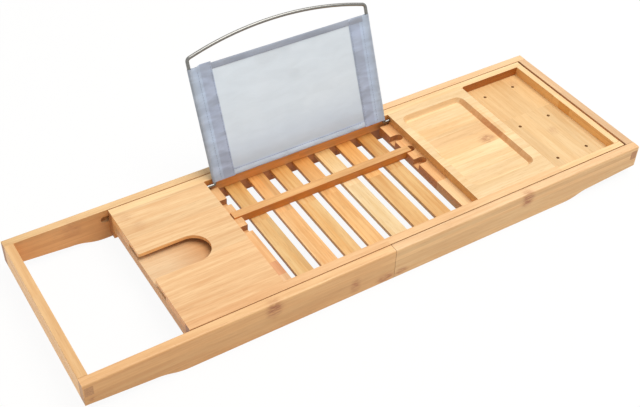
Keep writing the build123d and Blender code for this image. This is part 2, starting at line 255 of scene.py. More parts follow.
def strip_tone(tree, chance, share, shifted, pale, warm, contrast):
    tone = add_node(tree, "Mix", {"data_type": "RGBA"}, _0=share, _6=linear(pale), _7=linear(warm))
    gain = add_node(
        tree, "MapRange", Value=chance.outputs["Value"],
        To_Min=1.0 - DARKEST_STRIP * contrast, To_Max=1.0 + LIGHTEST_STRIP * contrast,
    )
    own_tone = add_node(
        tree, "VectorMath", {"operation": "SCALE"}, _0=tone.outputs[2], Scale=gain.outputs[0]
    )
    dash = stretched_noise(tree, shifted, DASHES_PER_MM, Scale=1.3, Detail=1.0)
    dash_share = add_node(
        tree, "MapRange", Value=dash.outputs[0], From_Min=0.60, From_Max=0.74,
        To_Min=0.0, To_Max=0.22 * contrast,
    )
    return add_node(
        tree, "Mix", {"data_type": "RGBA"},
        _0=dash_share.outputs[0], _6=own_tone.outputs[0], _7=linear(VESSEL_BROWN),
    ).outputs[2]


print("strips differ by up to", round((DARKEST_STRIP + LIGHTEST_STRIP) * 100), "percent")

# %% [markdown]
# ### Patches and drifts
#
# Two things change the tone of a board in places. A patch is a box inside which the tone is multiplied by
# a tint: a length of strip from a darker cane, or painted shade and painted light on one wall of a recess
# or on an edge. A drift is a tint that comes in slowly from one place to another along one axis; most
# drifts here are painted shade, where the light falls off towards the left end or towards a wall. Both
# could be painted by hand on an unwrapped board. Given as places and sizes in millimetres they stay
# readable, and they need no picture.

# %% Patches and drifts
# A patch carries a darker cane in some places, and painted shade and painted light in others.
def patch_of_tone_and_shade(tree, turned, colour, centre, half_size, tint):
    from_centre = add_node(tree, "VectorMath", {"operation": "SUBTRACT"}, _0=turned, _1=centre)
    shares = add_node(
        tree, "VectorMath", {"operation": "DIVIDE"}, _0=from_centre.outputs[0], _1=half_size
    )
    sizes = add_node(tree, "VectorMath", {"operation": "ABSOLUTE"}, _0=shares.outputs[0])
    parts = add_node(tree, "SeparateXYZ", _0=sizes.outputs[0])
    farthest = parts.outputs["X"]
    for part in ("Y", "Z"):
        farthest = add_node(
            tree, "Math", {"operation": "MAXIMUM"}, _0=farthest, _1=parts.outputs[part]
        ).outputs[0]
    within = add_node(tree, "Math", {"operation": "LESS_THAN"}, _0=farthest, _1=1)
    return tint_where(tree, within.outputs[0], colour, tint)


# Most drifts are painted shade, where the light falls off along a board.
def drift_of_tone_and_shade(tree, turned, colour, axis, start, end, tint):
    parts = add_node(tree, "SeparateXYZ", _0=turned)
    drifted = add_node(tree, "MapRange", Value=parts.outputs[axis], From_Min=start, From_Max=end)
    return tint_where(tree, drifted.outputs[0], colour, tint)


print("a patch is a box with a tint, and a drift a tint that comes in slowly")

# %% [markdown]
# ### Edges, painted shade and cut ends
#
# An upright face shows the edges of the strips. They have another tone than the faces, mostly a browner
# one, so the tone there is multiplied by a side tint. On many parts that tint also holds painted shade:
# it darkens the inner faces of the back arm, the back rail and the soap box, the racks, the ledge and the
# walls of the recess as shade would. On the end bars and the left deck it is painted light, which makes
# the upright faces paler. A face across the grain shows the ends of the fibres: dots instead of streaks,
# and browner again, because cut ends drink varnish. Each face could have its own material, but the normal
# tells the kinds apart, also on rounded edges.

# %% Upright faces and cut ends
CUT_FIBRE_PALE, CUT_FIBRE_BROWN = "#BC8354", "#80502E"
DOTS_PER_MM = 0.75


def face_direction(tree, place):
    facing = add_node(tree, "VectorMath", {"operation": "ABSOLUTE"}, _0=place.outputs["Normal"])
    return add_node(tree, "SeparateXYZ", _0=facing.outputs[0])


# The side tint gives the strips' browner edges, with painted shade where it is below one and painted light
# where it is above one.
def strip_edges_and_painted_shade(tree, facing, colour, side):
    upright = add_node(
        tree, "MapRange", Value=facing.outputs["Z"], From_Min=0.2, From_Max=0.8, To_Min=1.0, To_Max=0.0
    )
    return tint_where(tree, upright.outputs[0], colour, side)


def cut_ends(tree, facing, turned, colour, grain, end_grain):
    dots = add_node(tree, "TexVoronoi", Vector=turned, Scale=DOTS_PER_MM)
    dotted = add_node(
        tree, "MapRange", Value=dots.outputs["Distance"], From_Min=0.25, From_Max=0.6,
        To_Min=0.75, To_Max=0.25,
    )
    end_tone = add_node(
        tree, "Mix", {"data_type": "RGBA"},
        _0=dotted.outputs[0], _6=linear(CUT_FIBRE_PALE), _7=linear(CUT_FIBRE_BROWN),
    )
    cut = add_node(
        tree, "MapRange", Value=facing.outputs[grain], From_Min=0.75, From_Max=0.95,
        To_Min=0.0, To_Max=end_grain,
    )
    return add_node(
        tree, "Mix", {"data_type": "RGBA"}, _0=cut.outputs[0], _6=colour, _7=end_tone.outputs[2]
    ).outputs[2]


print("cut fibres are drawn", round(1 / DOTS_PER_MM, 1), "mm apart, larger than life")

# %% [markdown]
# ### Joints of the cane
#
# Where a cane had a joint, the fibres knot and brown. A mark is a soft ellipsoid of red-brown, given by
# its place, half sizes and strength, whose edge is made ragged with the fibres and broken up into dashes.

# %% Joints of the cane
JOINT_BROWN = "#A8683F"
RAGGED_EDGE = (10, 4, 4)
SPLINTERS_PER_MM = (0.16, 0.9, 0.9)


def joints_of_cane(tree, turned, fibre, colour, marks):
    ragged = add_node(
        tree, "VectorMath", {"operation": "MULTIPLY_ADD"},
        _0=fibre.outputs["Color"], _1=RAGGED_EDGE, _2=turned,
    )
    splinter = stretched_noise(tree, turned, SPLINTERS_PER_MM, Scale=1.0, Detail=2.0)
    splintered = add_node(
        tree, "MapRange", Value=splinter.outputs[0], From_Min=0.38, From_Max=0.60, To_Min=0.25, To_Max=1.0
    )
    half_of_ragged = [reach / 2 for reach in RAGGED_EDGE]
    for centre, half_size, strength in marks:
        from_centre = add_node(
            tree, "VectorMath", {"operation": "SUBTRACT"},
            _0=ragged.outputs[0], _1=[place + half for place, half in zip(centre, half_of_ragged)],
        )
        scaled = add_node(
            tree, "VectorMath", {"operation": "DIVIDE"}, _0=from_centre.outputs[0], _1=half_size
        )
        far = add_node(tree, "VectorMath", {"operation": "LENGTH"}, _0=scaled.outputs[0])
        near = add_node(
            tree, "MapRange", {"interpolation_type": "SMOOTHSTEP"},
            Value=far.outputs["Value"], From_Min=0.25, From_Max=1.15, To_Min=strength, To_Max=0.0,
        )
        mark_share = add_node(
            tree, "Math", {"operation": "MULTIPLY"}, _0=near.outputs[0], _1=splintered.outputs[0]
        )
        colour = add_node(
            tree, "Mix", {"data_type": "RGBA"},
            _0=mark_share.outputs[0], _6=colour, _7=linear(JOINT_BROWN),
        ).outputs[2]
    return colour


print("joints of the cane are marked in", JOINT_BROWN)

# %% [markdown]
# ### Varnish
#
# The last step puts the colour under a satin varnish. Varnish has an IOR of about 1.5. Sanding by hand
# leaves it between 0.42 and 0.54 rough, following the fibres, which also stand up from it by a tenth of a
# millimetre, as they do once wet hands have raised them.

# %% Bamboo finish
SATIN, DULL = 0.42, 0.54
RAISED_FIBRE = mm(0.12)


def bamboo(name, grain, pale, warm, seed, strip=20.0, layer=5.3, contrast=1.0, side=(0.93, 0.87, 0.80),
           end_grain=0.8, marks=(), patches=(), drift=None):
    material, tree = empty_finish(name)
    place, turned, chance, shifted = strips_of_cane(tree, grain, seed, strip, layer)
    share, fibre = grain_figure(tree, shifted)
    colour = strip_tone(tree, chance, share, shifted, pale, warm, contrast)
    for centre, half_size, tint in patches:
        colour = patch_of_tone_and_shade(tree, turned, colour, centre, half_size, tint)
    if drift:
        colour = drift_of_tone_and_shade(tree, turned, colour, *drift)
    facing = face_direction(tree, place)
    colour = strip_edges_and_painted_shade(tree, facing, colour, side)
    colour = cut_ends(tree, facing, turned, colour, grain, end_grain)
    colour = joints_of_cane(tree, turned, fibre, colour, marks)
    rough = add_node(
        tree, "MapRange", Value=fibre.outputs[0], From_Min=0.3, From_Max=0.7, To_Min=SATIN, To_Max=DULL
    )
    relief = add_node(tree, "Bump", Strength=0.25, Distance=RAISED_FIBRE, Height=fibre.outputs[0])
    shader = add_node(
        tree, "BsdfPrincipled", Base_Color=colour, Roughness=rough.outputs[0],
        IOR=1.5, Normal=relief.outputs[0],
    )
    add_node(tree, "OutputMaterial", Surface=shader.outputs[0])
    return material


print("bamboo() puts strips, figure, edges, joints and varnish together")

# %% [markdown]
# ### Which way the grain runs
#
# A joiner lays the grain along the length of each stick, because that is where bamboo is strong and
# because end grain drinks varnish. So arms, rails and decks run along the caddy, and end bars, slats,
# racks, and the end wall and floor of the soap box run across it. The slats come from darker, steamed
# strips.
#
# Each part gets a finish of its own, because no two boards match. Joints of the cane are placed where the
# picture shows them. Patches are strips from another cane, or painted shade and painted light on a wall or
# an edge that has another tone in the picture, such as the painted shade on the low part of the back rail
# between the slats. All of them are given in millimetres along the grain, across it and in depth.

# %% Finishes of the wooden parts
PALE, WARM = "#F3D09B", "#E4BA83"
# The racks' side tint is painted shade on the upright faces in their notches.
RACK_SIDE_AND_SHADE = (0.78, 0.62, 0.46)
wood = {
    # The drift on the left front arm is painted shade: the light falls off towards the left end.
    "left_front_arm": bamboo(
        "varnished_bamboo_left_front_arm", "X", "#EBC28D", "#DDAD77", 3.1,
        side=(0.91, 0.84, 0.74), end_grain=0.3, drift=("X", 0, -330, (0.94, 0.87, 0.80)),
        marks=[((-147, -128, 31), (12, 12, 14), 1.0), ((-50, -128, 14), (8, 12, 12), 0.85),
               ((-12, -131, 6), (14, 12, 7), 1.0), ((-342, -131, 17), (4, 9, 3), 0.9)],
    ),
    # The left back arm's side tint is painted shade on its inner face, and its drift is painted shade
    # towards the left end.
    "left_back_arm": bamboo(
        "varnished_bamboo_left_back_arm", "X", "#F0CA95", "#E1B57E", 8.4,
        side=(0.84, 0.64, 0.46), drift=("X", -300, -345, (0.90, 0.87, 0.80)),
        marks=[((-277, 81, 30), (14, 9, 14), 0.35)],
    ),
    "right_front_arm": bamboo(
        "varnished_bamboo_right_front_arm", "X", "#EBC494", "#DDAF7D", 12.7,
        side=(0.95, 0.92, 0.81),
        marks=[((181, -128, 32), (11, 12, 13), 1.0), ((9, -131, 6), (11, 12, 6), 0.75)],
    ),
    "right_back_arm": bamboo(
        "varnished_bamboo_right_back_arm", "X", "#EDC392", "#E1B17E", 17.9, side=(0.92, 0.91, 0.81)
    ),
    # The end bars' side tints are painted light, which makes their outer faces paler.
    "left_end_bar": bamboo(
        "varnished_bamboo_left_end_bar", "Y", "#EFC38A", "#E0AE73", 21.3, layer=4.6,
        side=(1.22, 1.18, 1.13),
    ),
    "right_end_bar": bamboo(
        "varnished_bamboo_right_end_bar", "Y", "#DBB68A", "#CDA276", 25.8, layer=4.6,
        side=(1.08, 1.0, 0.92),
    ),
    # The drift on the front rail is painted shade, darker towards the left end.
    "tray_front_rail": bamboo(
        "varnished_bamboo_front_rail", "X", "#ECC795", "#DDB27E", 29.2,
        drift=("X", 320, -230, (0.93, 0.79, 0.70)),
    ),
    # The back rail's side tint is painted shade on its inner face, and its patch is painted shade on the low
    # part between the slats, where little light gets in.
    "tray_back_rail": bamboo(
        "varnished_bamboo_back_rail", "X", PALE, WARM, 33.6, side=(0.97, 0.63, 0.35),
        patches=[((0, 70.1, 13.8), (126, 0.6, 8.2), (0.61, 0.46, 0.31))],
    ),
    "tray_end_rail": bamboo("varnished_bamboo_tray_end_rail", "Y", PALE, WARM, 37.5),
    "guide_pins": bamboo("varnished_bamboo_guide_pins", "Y", PALE, WARM, 41.1),
    # The left deck's side tint is painted light on its upright faces; its drift makes it darker towards the
    # front.
    "left_deck": bamboo(
        "varnished_bamboo_left_deck", "X", "#F3CF9C", "#E0B07A", 46.6,
        side=(1.22, 1.07, 0.84), end_grain=0.06, drift=("Y", 70, -100, (0.89, 0.82, 0.77)),
        marks=[((-224, 60, 40), (12, 9, 14), 0.22), ((-216, 42, 40), (9, 12, 14), 0.22)],
    ),
    # The underboard's drift is painted shade, darker towards the end of the glass slot.
    "left_underboard": bamboo(
        "varnished_bamboo_left_underboard", "X", "#EECB9E", "#E0B686", 50.2,
        side=(1.03, 0.87, 0.60), end_grain=0.3, drift=("X", -208, -163, (0.80, 0.58, 0.38)),
    ),
    # The right deck's side tint is painted shade on the walls of its recess.
    "right_deck": bamboo(
        "varnished_bamboo_right_deck", "X", "#F2D2A1", "#E4BE88", 55.9, strip=19.0, contrast=1.3,
        side=(0.92, 0.69, 0.49), end_grain=0.3, marks=[((207, -21, 33), (13, 9, 14), 0.8)],
        patches=[
            # Strips of a darker cane.
            ((186, -3, 35), (44, 11, 20), (0.95, 0.86, 0.78)),
            ((186, 20, 35), (44, 11, 20), (0.96, 0.90, 0.84)),
            ((182, -21, 35), (48, 7, 20), (0.93, 0.84, 0.74)),
            # Painted shade on the rounded edge down into the soap box.
            ((223.3, -17, 36.9), (2.3, 70, 2.8), (0.92, 0.79, 0.68)),
            ((223.3, -14, 36.9), (2.3, 24, 2.8), (0.93, 0.84, 0.78)),
            # Painted light on the deck's face towards the bay.
            ((125.1, -18, 35), (0.8, 90, 4.8), (1.22, 1.26, 1.03)),
        ],
    ),
    "right_underboard": bamboo("varnished_bamboo_right_underboard", "X", PALE, WARM, 60.3),
    # The racks' side tints are painted shade on the upright faces in their notches.
    "left_rack": bamboo("varnished_bamboo_left_rack", "Y", "#E6B880", "#D39C62", 64.4, side=RACK_SIDE_AND_SHADE),
    "left_rack_block": bamboo(
        "varnished_bamboo_left_rack_block", "Y", "#E0A878", "#CC8C5A", 68.8, side=RACK_SIDE_AND_SHADE,
        drift=("X", -88.6, -89.4, (1.10, 1.42, 1.62)),
    ),
    "right_rack": bamboo(
        "varnished_bamboo_right_rack", "Y", "#EDBA7E", "#D8985C", 72.5, side=(0.76, 0.56, 0.38)
    ),
    "right_rack_block": bamboo(
        "varnished_bamboo_right_rack_block", "Y", "#F7D29E", "#EBBE86", 75.1, side=RACK_SIDE_AND_SHADE
    ),
    # The ledge bar's side tint is painted shade on its front face.
    "ledge_bar": bamboo(
        "varnished_bamboo_ledge_bar", "X", "#E2AF71", "#CD9558", 77.7, side=(0.86, 0.55, 0.22)
    ),
    # The side tints of the soap box walls are painted shade on their inner faces, deepest on the back wall.
    "box_front_wall": bamboo(
        "varnished_bamboo_box_front_wall", "X", PALE, WARM, 29.2, side=(0.78, 0.54, 0.32)
    ),
    "box_back_wall": bamboo(
        "varnished_bamboo_box_back_wall", "X", PALE, WARM, 33.6, side=(0.47, 0.21, 0.05)
    ),
    "box_end_wall": bamboo(
        "varnished_bamboo_box_end_wall", "Y", PALE, WARM, 93.2, side=(1.10, 0.93, 0.63),
        patches=[((-21, -328.6, 34), (10, 0.8, 5.6), (0.87, 0.76, 0.55))],
    ),
    # The box floor's drift is painted shade, darker towards the back wall.
    "box_floor": bamboo(
        "varnished_bamboo_box_floor", "Y", "#E6C796", "#D8B37E", 97.4,
        drift=("X", -90, 71, (0.96, 0.85, 0.71)),
        marks=[((-43, -293, 29), (9, 8, 14), 0.35), ((56, -312, 29), (9, 8, 14), 0.3)],
    ),
}
print(len(wood), "wooden parts have a finish of their own")

# %% [markdown]
# ### Slats
#
# The seven slats are the parts that differ most. One finish could serve them all, with another seed for
# each, but their tones are too far apart for that. So each gets its own pale and warm tone, and all of
# them are darker towards the back, as in the picture: a painted shade, where the rest and the racks shade
# them. The fifth is a pale one.

# %% Finishes of the slats
SLAT_TONES = [("#E5C084", "#D3A05D"), ("#ECC187", "#DAA05F"), ("#F1C98B", "#E0A962"), ("#ECBD7E", "#DA9E59"),
              ("#F3D9A9", "#E5C188"), ("#EABD7C", "#D79D58"), ("#DEB679", "#CC9451")]
PALE_SLAT = 5
for number, (light, dark) in enumerate(SLAT_TONES, start=1):
    # Darker towards the back is painted shade under the rest and the racks.
    if number == PALE_SLAT:
        painted_shade_at_back = ("X", 10, 66, (0.92, 0.79, 0.60))
    else:
        painted_shade_at_back = ("X", 15, 70, (0.90, 0.71, 0.44))
    wood[f"slat_{number}"] = bamboo(
        f"steamed_bamboo_slat_{number}", "Y", light, dark, 100 + 7.7 * number, contrast=1.7,
        drift=painted_shade_at_back,
    )
print(len(SLAT_TONES), "slats bring the finishes to", len(wood))

# %% [markdown]
# ### Laying the finishes on
#
# The exact parts keep their shape. Their edges are eased with a modifier, as a joiner takes the sharpness
# off with fine paper: a weld first joins the faces of the loaded mesh, and a narrow bevel follows. A few
# parts stay as they are: the arms and decks have their rounded edges already, the guide pins run hidden in
# their grooves, and the small walls and blocks are glued against each other, where an eased edge would
# open a dark seam.

# %% Put the bamboo on the wooden parts
EASED_EDGE = mm(0.25)
KEPT_SHARP = (
    "left_front_arm", "left_back_arm", "right_front_arm", "right_back_arm", "left_deck", "right_deck",
    "guide_pins", "box_front_wall", "box_back_wall", "box_floor", "left_rack_block", "right_rack_block",
)


def wear(node, material, ease=0):
    part = frame["nodes"][node]
    if not part.material_slots:
        part.data.materials.append(None)
    for slot in part.material_slots:
        slot.link = "OBJECT"
        slot.material = material
    if ease:
        weld = part.modifiers.new("joined_faces", "WELD")
        weld.merge_threshold = mm(0.002)
        soft = part.modifiers.new("eased_edges", "BEVEL")
        soft.width = ease
        soft.segments = 2
        soft.limit_method = "ANGLE"
        soft.angle_limit = radians(50)
        soft.use_clamp_overlap = True


for node, material in wood.items():
    wear(node, material, ease=0 if node in KEPT_SHARP else EASED_EDGE)
print("eased", len(wood) - len(KEPT_SHARP), "parts by", round(EASED_EDGE * 1000, 2), "mm")

# %% [markdown]
# ## Steel wire
#
# The rest is one length of spring steel wire, 4 mm thick, cold drawn through a die, bent and nickel
# plated. Drawing leaves fine marks on the wire, which spread the highlight, so roughness is moderate and a
# faint bump breaks it up. They are drawn about 1 mm apart. Nickel is a little warm and darker than chrome.
#
# One noise mixes the two tones, sets the roughness and raises the surface. The function that does so is
# used again for the grip strips.

# %% Nickel-plated spring steel
def grained_finish(name, grains_per_metre, detail, dark, light, roughness, strength, height, **surface):
    material, tree = empty_finish(name)
    place = add_node(tree, "TexCoord")
    grain = add_node(
        tree, "TexNoise", Vector=place.outputs["Object"], Scale=grains_per_metre, Detail=detail
    )
    tone = add_node(
        tree, "Mix", {"data_type": "RGBA"}, _0=grain.outputs[0], _6=linear(dark), _7=linear(light)
    )
    rough = add_node(
        tree, "MapRange", Value=grain.outputs[0], From_Min=0.3, From_Max=0.7,
        To_Min=roughness[0], To_Max=roughness[1],
    )
    relief = add_node(tree, "Bump", Strength=strength, Distance=height, Height=grain.outputs[0])
    shader = add_node(
        tree, "BsdfPrincipled", Base_Color=tone.outputs[2], Roughness=rough.outputs[0],
        Normal=relief.outputs[0], **surface,
    )
    add_node(tree, "OutputMaterial", Surface=shader.outputs[0])
    return material


steel = grained_finish(
    "nickel_plated_drawn_steel_wire", 900.0, 3.0, "#6C6B67", "#908F8B",
    roughness=(0.20, 0.30), strength=0.2, height=mm(0.05), Metallic=1.0,
)
wear("rest_wire", steel)
print("the wire is finished as", steel.name)

# %% [markdown]
# ## Grip strips
#
# Under the ends of the arms, thin strips of silicone rubber keep the caddy from sliding on the rim. They
# are moulded in a matt mould, which leaves a fine even grain of about half a millimetre and the same
# roughness everywhere. Silicone has an IOR of 1.41.

# %% Moulded silicone
silicone = grained_finish(
    "moulded_matt_silicone", 2000.0, 2.0, "#C9C9C4", "#D8D8D3",
    roughness=(0.7, 0.7), strength=0.3, height=mm(0.08), IOR=1.41,
)
for node in ("left_grip_strips", "right_grip_strips"):
    wear(node, silicone)
print("four grip strips are finished as", silicone.name)

# %% [markdown]
# ## The cloth of the rest
#
# The rest carries a panel of thin, milky nylon. One cut sheet makes it: its two long edges are turned
# under, wrapped round the legs of the wire and sewn down on the front, so that the panel is one layer,
# the strip beside each leg two, and the strip beside that three. Each layer holds back more light, which
# is why the bands look darker than the panel.
#
# A cloth simulation could drape it, but the cloth is stretched tight, and a cross-section carried up along
# the lean of the wire gives every layer its place. The lean itself is read off the exact wire, from the
# hinge at its feet to the bend at its top.

# %% Where the rest stands
WIRE_RADIUS = mm(2)
SLEEVE_RADIUS = mm(2.5)
pivot = Vector(next(j["pos_m"] for j in frame["joints"] if j["name"] == "rest_fold"))
wire_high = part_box("rest_wire")[1]
cloth_low, cloth_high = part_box("rest_cloth")
lean = atan2(wire_high.z - WIRE_RADIUS - pivot.z, wire_high.y - WIRE_RADIUS - pivot.y)
left_leg = cloth_low.x + SLEEVE_RADIUS
right_leg = cloth_high.x - SLEEVE_RADIUS
up_the_rest = Vector((0, cos(lean), sin(lean)))
out_of_the_rest = Vector((0, -sin(lean), cos(lean)))


def rest_point(across, up, out):
    return Vector((across, pivot.y, pivot.z)) + up * up_the_rest + out * out_of_the_rest


print("the rest leans at", round(degrees(lean), 2), "degrees; its legs are",
      round((right_leg - left_leg) * 1000, 1), "mm apart")

# %% [markdown]
# ### Weave of the nylon
#
# The cloth is a plain-woven nylon, coated so that it is milky rather than clear. Its threads are 0.25 mm
# apart, which is too fine to show, so two waves across each other draw the weave at 1 mm, with a faint
# relief. A wave texture repeats every millimetre at a scale of 0.314. Clouds about 33 mm wide show that the
# coating is a little uneven.

# %% Weave of the cloth
WEAVE_SCALE = 0.314
CLOUDS_PER_MM = 0.03


def woven_tone(tree, flat, pale, dark):
    warp, weft = (
        add_node(tree, "TexWave", {"bands_direction": axis}, Vector=flat, Scale=WEAVE_SCALE)
        for axis in "XY"
    )
    weave = add_node(tree, "Math", {"operation": "MAXIMUM"}, _0=warp.outputs[1], _1=weft.outputs[1])
    cloud = add_node(tree, "TexNoise", Vector=flat, Scale=CLOUDS_PER_MM, Detail=3.0)
    mottled = add_node(
        tree, "Math", {"operation": "MULTIPLY_ADD"}, _0=weave.outputs[0], _1=0.25, _2=cloud.outputs[0]
    )
    share = add_node(tree, "MapRange", Value=mottled.outputs[0], From_Min=0.35, From_Max=0.95)
    tone = add_node(
        tree, "Mix", {"data_type": "RGBA"}, _0=share.outputs[0], _6=linear(pale), _7=linear(dark)
    )
    return weave.outputs[0], tone.outputs[2]


print("the weave repeats every", round(2 * pi / (20 * WEAVE_SCALE), 2), "mm")

# %% [markdown]
# ### Creases, and the greyer foot
#
# Sewn cloth is creased. A noise about 29 mm wide and 9 mm high raises the creases a little and paints their
# light and shade into the colour, lighter and darker, more on the sleeves and bands than on the taut panel.
# Near its foot the panel is greyer, because the shaded bay shows through it. Light alone gives only part of
# that here, so a tint helps: it is full up to 8 mm above the hinge, and gone at 66 mm.

# %% Creases and foot of the cloth
CREASES_PER_MM = (0.035, 0.11, 0.035)
FOOT_GREY_ENDS = (8, 66)
foot_height = pivot.dot(up_the_rest) * 1000


# The crease tone is painted light and shade of the creases, laid on where the bump raises them.
def painted_crease_shade(tree, flat, tone, creased):
    crease = stretched_noise(tree, flat, CREASES_PER_MM, Scale=1.0, Detail=2.0, Distortion=0.6)
    gain = add_node(
        tree, "MapRange", Value=crease.outputs[0], From_Min=0.35, From_Max=0.65,
        To_Min=1.0 - creased, To_Max=1.0 + creased,
    )
    scaled = add_node(tree, "VectorMath", {"operation": "SCALE"}, _0=tone, Scale=gain.outputs[0])
    return crease.outputs[0], scaled.outputs[0]


def greyer_foot(tree, flat, tone, foot_tint):
    height = add_node(tree, "SeparateXYZ", _0=flat)
    near_foot = add_node(
        tree, "MapRange", {"interpolation_type": "SMOOTHSTEP"}, Value=height.outputs["Y"],
        From_Min=foot_height + FOOT_GREY_ENDS[0], From_Max=foot_height + FOOT_GREY_ENDS[1],
        To_Min=1.0, To_Max=0.0,
    )
    return tint_where(tree, near_foot.outputs[0], tone, foot_tint)


print("the foot of the cloth is greyer up to", FOOT_GREY_ENDS[1], "mm above the hinge")

# %% [markdown]
# ### Milky nylon
#
# Light falls on the cloth, and light also comes through it from behind. So the finish mixes an ordinary
# surface with a translucent one and lets a little straight through. The panel, the sleeves, the bands and
# both hems each get a mix of their own, because they differ in thickness and in how the light meets them.

# %% Coated nylon finish
def coated_nylon(name, pale, dark, see_through, shine_through, creased, foot_tint=(1, 1, 1)):
    material, tree = empty_finish(name)
    place = add_node(tree, "TexCoord")
    flat = add_node(
        tree, "Mapping", Vector=place.outputs["Object"], Rotation=(-lean, 0, 0), Scale=(1000, 1000, 1000)
    ).outputs[0]
    weave, tone = woven_tone(tree, flat, pale, dark)
    crease, tone = painted_crease_shade(tree, flat, tone, creased)
    colour = greyer_foot(tree, flat, tone, foot_tint)
    folds = add_node(tree, "Bump", Strength=creased * 2, Distance=mm(1.0), Height=crease)
    relief = add_node(
        tree, "Bump", Strength=0.15, Distance=mm(0.1), Height=weave, Normal=folds.outputs[0]
    )
    front = add_node(
        tree, "BsdfPrincipled", Base_Color=colour, Roughness=0.55, IOR=1.45, Normal=relief.outputs[0]
    )
    behind = add_node(tree, "BsdfTranslucent", Color=colour, Normal=relief.outputs[0])
    both = add_node(tree, "MixShader", _0=shine_through, _1=front.outputs[0], _2=behind.outputs[0])
    clear = add_node(tree, "BsdfTransparent")
    milky = add_node(tree, "MixShader", _0=see_through, _1=both.outputs[0], _2=clear.outputs[0])
    add_node(tree, "OutputMaterial", Surface=milky.outputs[0])
    return material


panel_cloth = coated_nylon(
    "coated_nylon_single", "#DFE8EF", "#D8E2EA", 0.04, 0.45, creased=0.02, foot_tint=(0.86, 0.89, 0.95)
)
sleeve_cloth = coated_nylon("coated_nylon_sleeve", "#D7E4F2", "#C9D5E6", 0.04, 0.40, creased=0.09)
band_cloth = coated_nylon("coated_nylon_band", "#CCD6E5", "#BDC7D9", 0.02, 0.35, creased=0.12)
top_hem_cloth = coated_nylon("coated_nylon_top_hem", "#BAC0CB", "#ACB3C1", 0.02, 0.35, creased=0.06)
bottom_hem_cloth = coated_nylon("coated_nylon_bottom_hem", "#F0F9FF", "#E6F0F8", 0.04, 0.45, creased=0.06)
print("five nylon finishes, from", panel_cloth.name, "to", band_cloth.name)

# %% [markdown]
# ### Cutting and wrapping the sheet
#
# The cross-section starts at the raw edge that is turned under, folds back over itself, lies flat as the
# front of the band, goes round the leg, and comes in again behind to become the panel. Each point of it is
# a distance in from the leg and a height above the plane of the legs. The right side is its mirror image.

# %% Cross-section of the cloth
BAND_WIDTH = mm(26)
UNDER_WIDTH = mm(14)
WRAP_RADIUS = mm(2.35)
WRAP_START = radians(62)
WRAP_STEPS = 12
PANEL_STEPS = 36


def edge_of_cloth(leg, inward):
    turned_under = [
        (BAND_WIDTH - UNDER_WIDTH, mm(0.35)),
        (BAND_WIDTH - mm(1.0), mm(0.35)),
        (BAND_WIDTH - mm(0.3), mm(0.45)),
        (BAND_WIDTH, mm(0.62)),
    ]
    front_of_band = [
        (BAND_WIDTH - mm(0.3), mm(0.80)),
        (BAND_WIDTH - mm(1.0), mm(0.88)),
        (BAND_WIDTH - UNDER_WIDTH * 0.55, mm(0.86)),
        (BAND_WIDTH - UNDER_WIDTH, mm(0.92)),
        (mm(7.5), mm(1.05)),
        (mm(4.6), mm(1.45)),
        (mm(2.6), mm(1.95)),
    ]
    round_the_leg = []
    for step in range(WRAP_STEPS + 1):
        turn = WRAP_START + (2 * pi - 2 * WRAP_START) * step / WRAP_STEPS
        round_the_leg.append((WRAP_RADIUS * cos(turn), WRAP_RADIUS * sin(turn)))
    back_to_the_panel = [
        (mm(2.6), mm(-1.75)),
        (mm(4.6), mm(-1.0)),
        (mm(7.0), mm(-0.35)),
        (mm(10), mm(0)),
        (mm(15), mm(0)),
    ]
    whole_edge = turned_under + front_of_band + round_the_leg + back_to_the_panel
    return [(leg + inward * across, out) for across, out in whole_edge]


left_section = edge_of_cloth(left_leg, 1)
right_section = edge_of_cloth(right_leg, -1)
panel_left = left_section[-1][0]
panel_right = right_section[-1][0]
panel_section = [
    (panel_left + (panel_right - panel_left) * step / PANEL_STEPS, 0.0) for step in range(1, PANEL_STEPS)
]
section = left_section + panel_section + right_section[::-1]

# %% [markdown]
# ### How taut cloth lies
#
# Stretched cloth isn't flat. Its middle hangs back by a little over a millimetre, and near the seams, where
# sewing has drawn it together, small ripples run along it. Both could be left to a simulation, but short
# functions are enough: one eases a value in and out, one measures from the nearer leg, one says how far the
# cloth sags at a place, and one gives a fixed unevenness. The hems and the stitches follow the same sag, so
# that they stay on the cloth.

# %% Sag of the cloth
cloth_bottom = mm(2.6)
cloth_top = mm(134.6)
DEEPEST_SAG = mm(-1.3)
half_panel = (right_leg - left_leg) / 2
middle = (left_leg + right_leg) / 2


def smooth(value):
    value = max(0.0, min(1.0, value))
    return value * value * (3 - 2 * value)


def distance_from_leg(across):
    return half_panel - abs(across - middle)


def sag_at(across, up):
    height = (up - cloth_bottom) / (cloth_top - cloth_bottom)
    bulge = sin(pi * min(1.0, max(0.0, height)))
    return DEEPEST_SAG * smooth(distance_from_leg(across) / half_panel) * bulge


def unevenness(across, up, waves_per_metre, seed):
    return noise.noise(Vector((across * waves_per_metre[0], up * waves_per_metre[1], seed)))


deepest = sag_at(middle, (cloth_bottom + cloth_top) / 2)
print("the middle of the cloth hangs back by", round(-deepest * 1000, 1), "mm")

# %% [markdown]
# ### The sheet itself
#
# The cross-section is repeated in 41 rows up the rest, and faces join each row to the next. The left band
# reaches 2 mm higher than the panel, as it does in the picture. Three kinds of unevenness are added:
# ripples of 22 by 11 mm beside the seams, a slower pull of 45 by 33 mm over the panel, and a wave every
# 15 mm along the folded edge of the band. Faces are sorted by column into band, sleeve and panel, so that
# each gets the finish of its layers. The sheet then rides on the reading rest and replaces its plain solid.

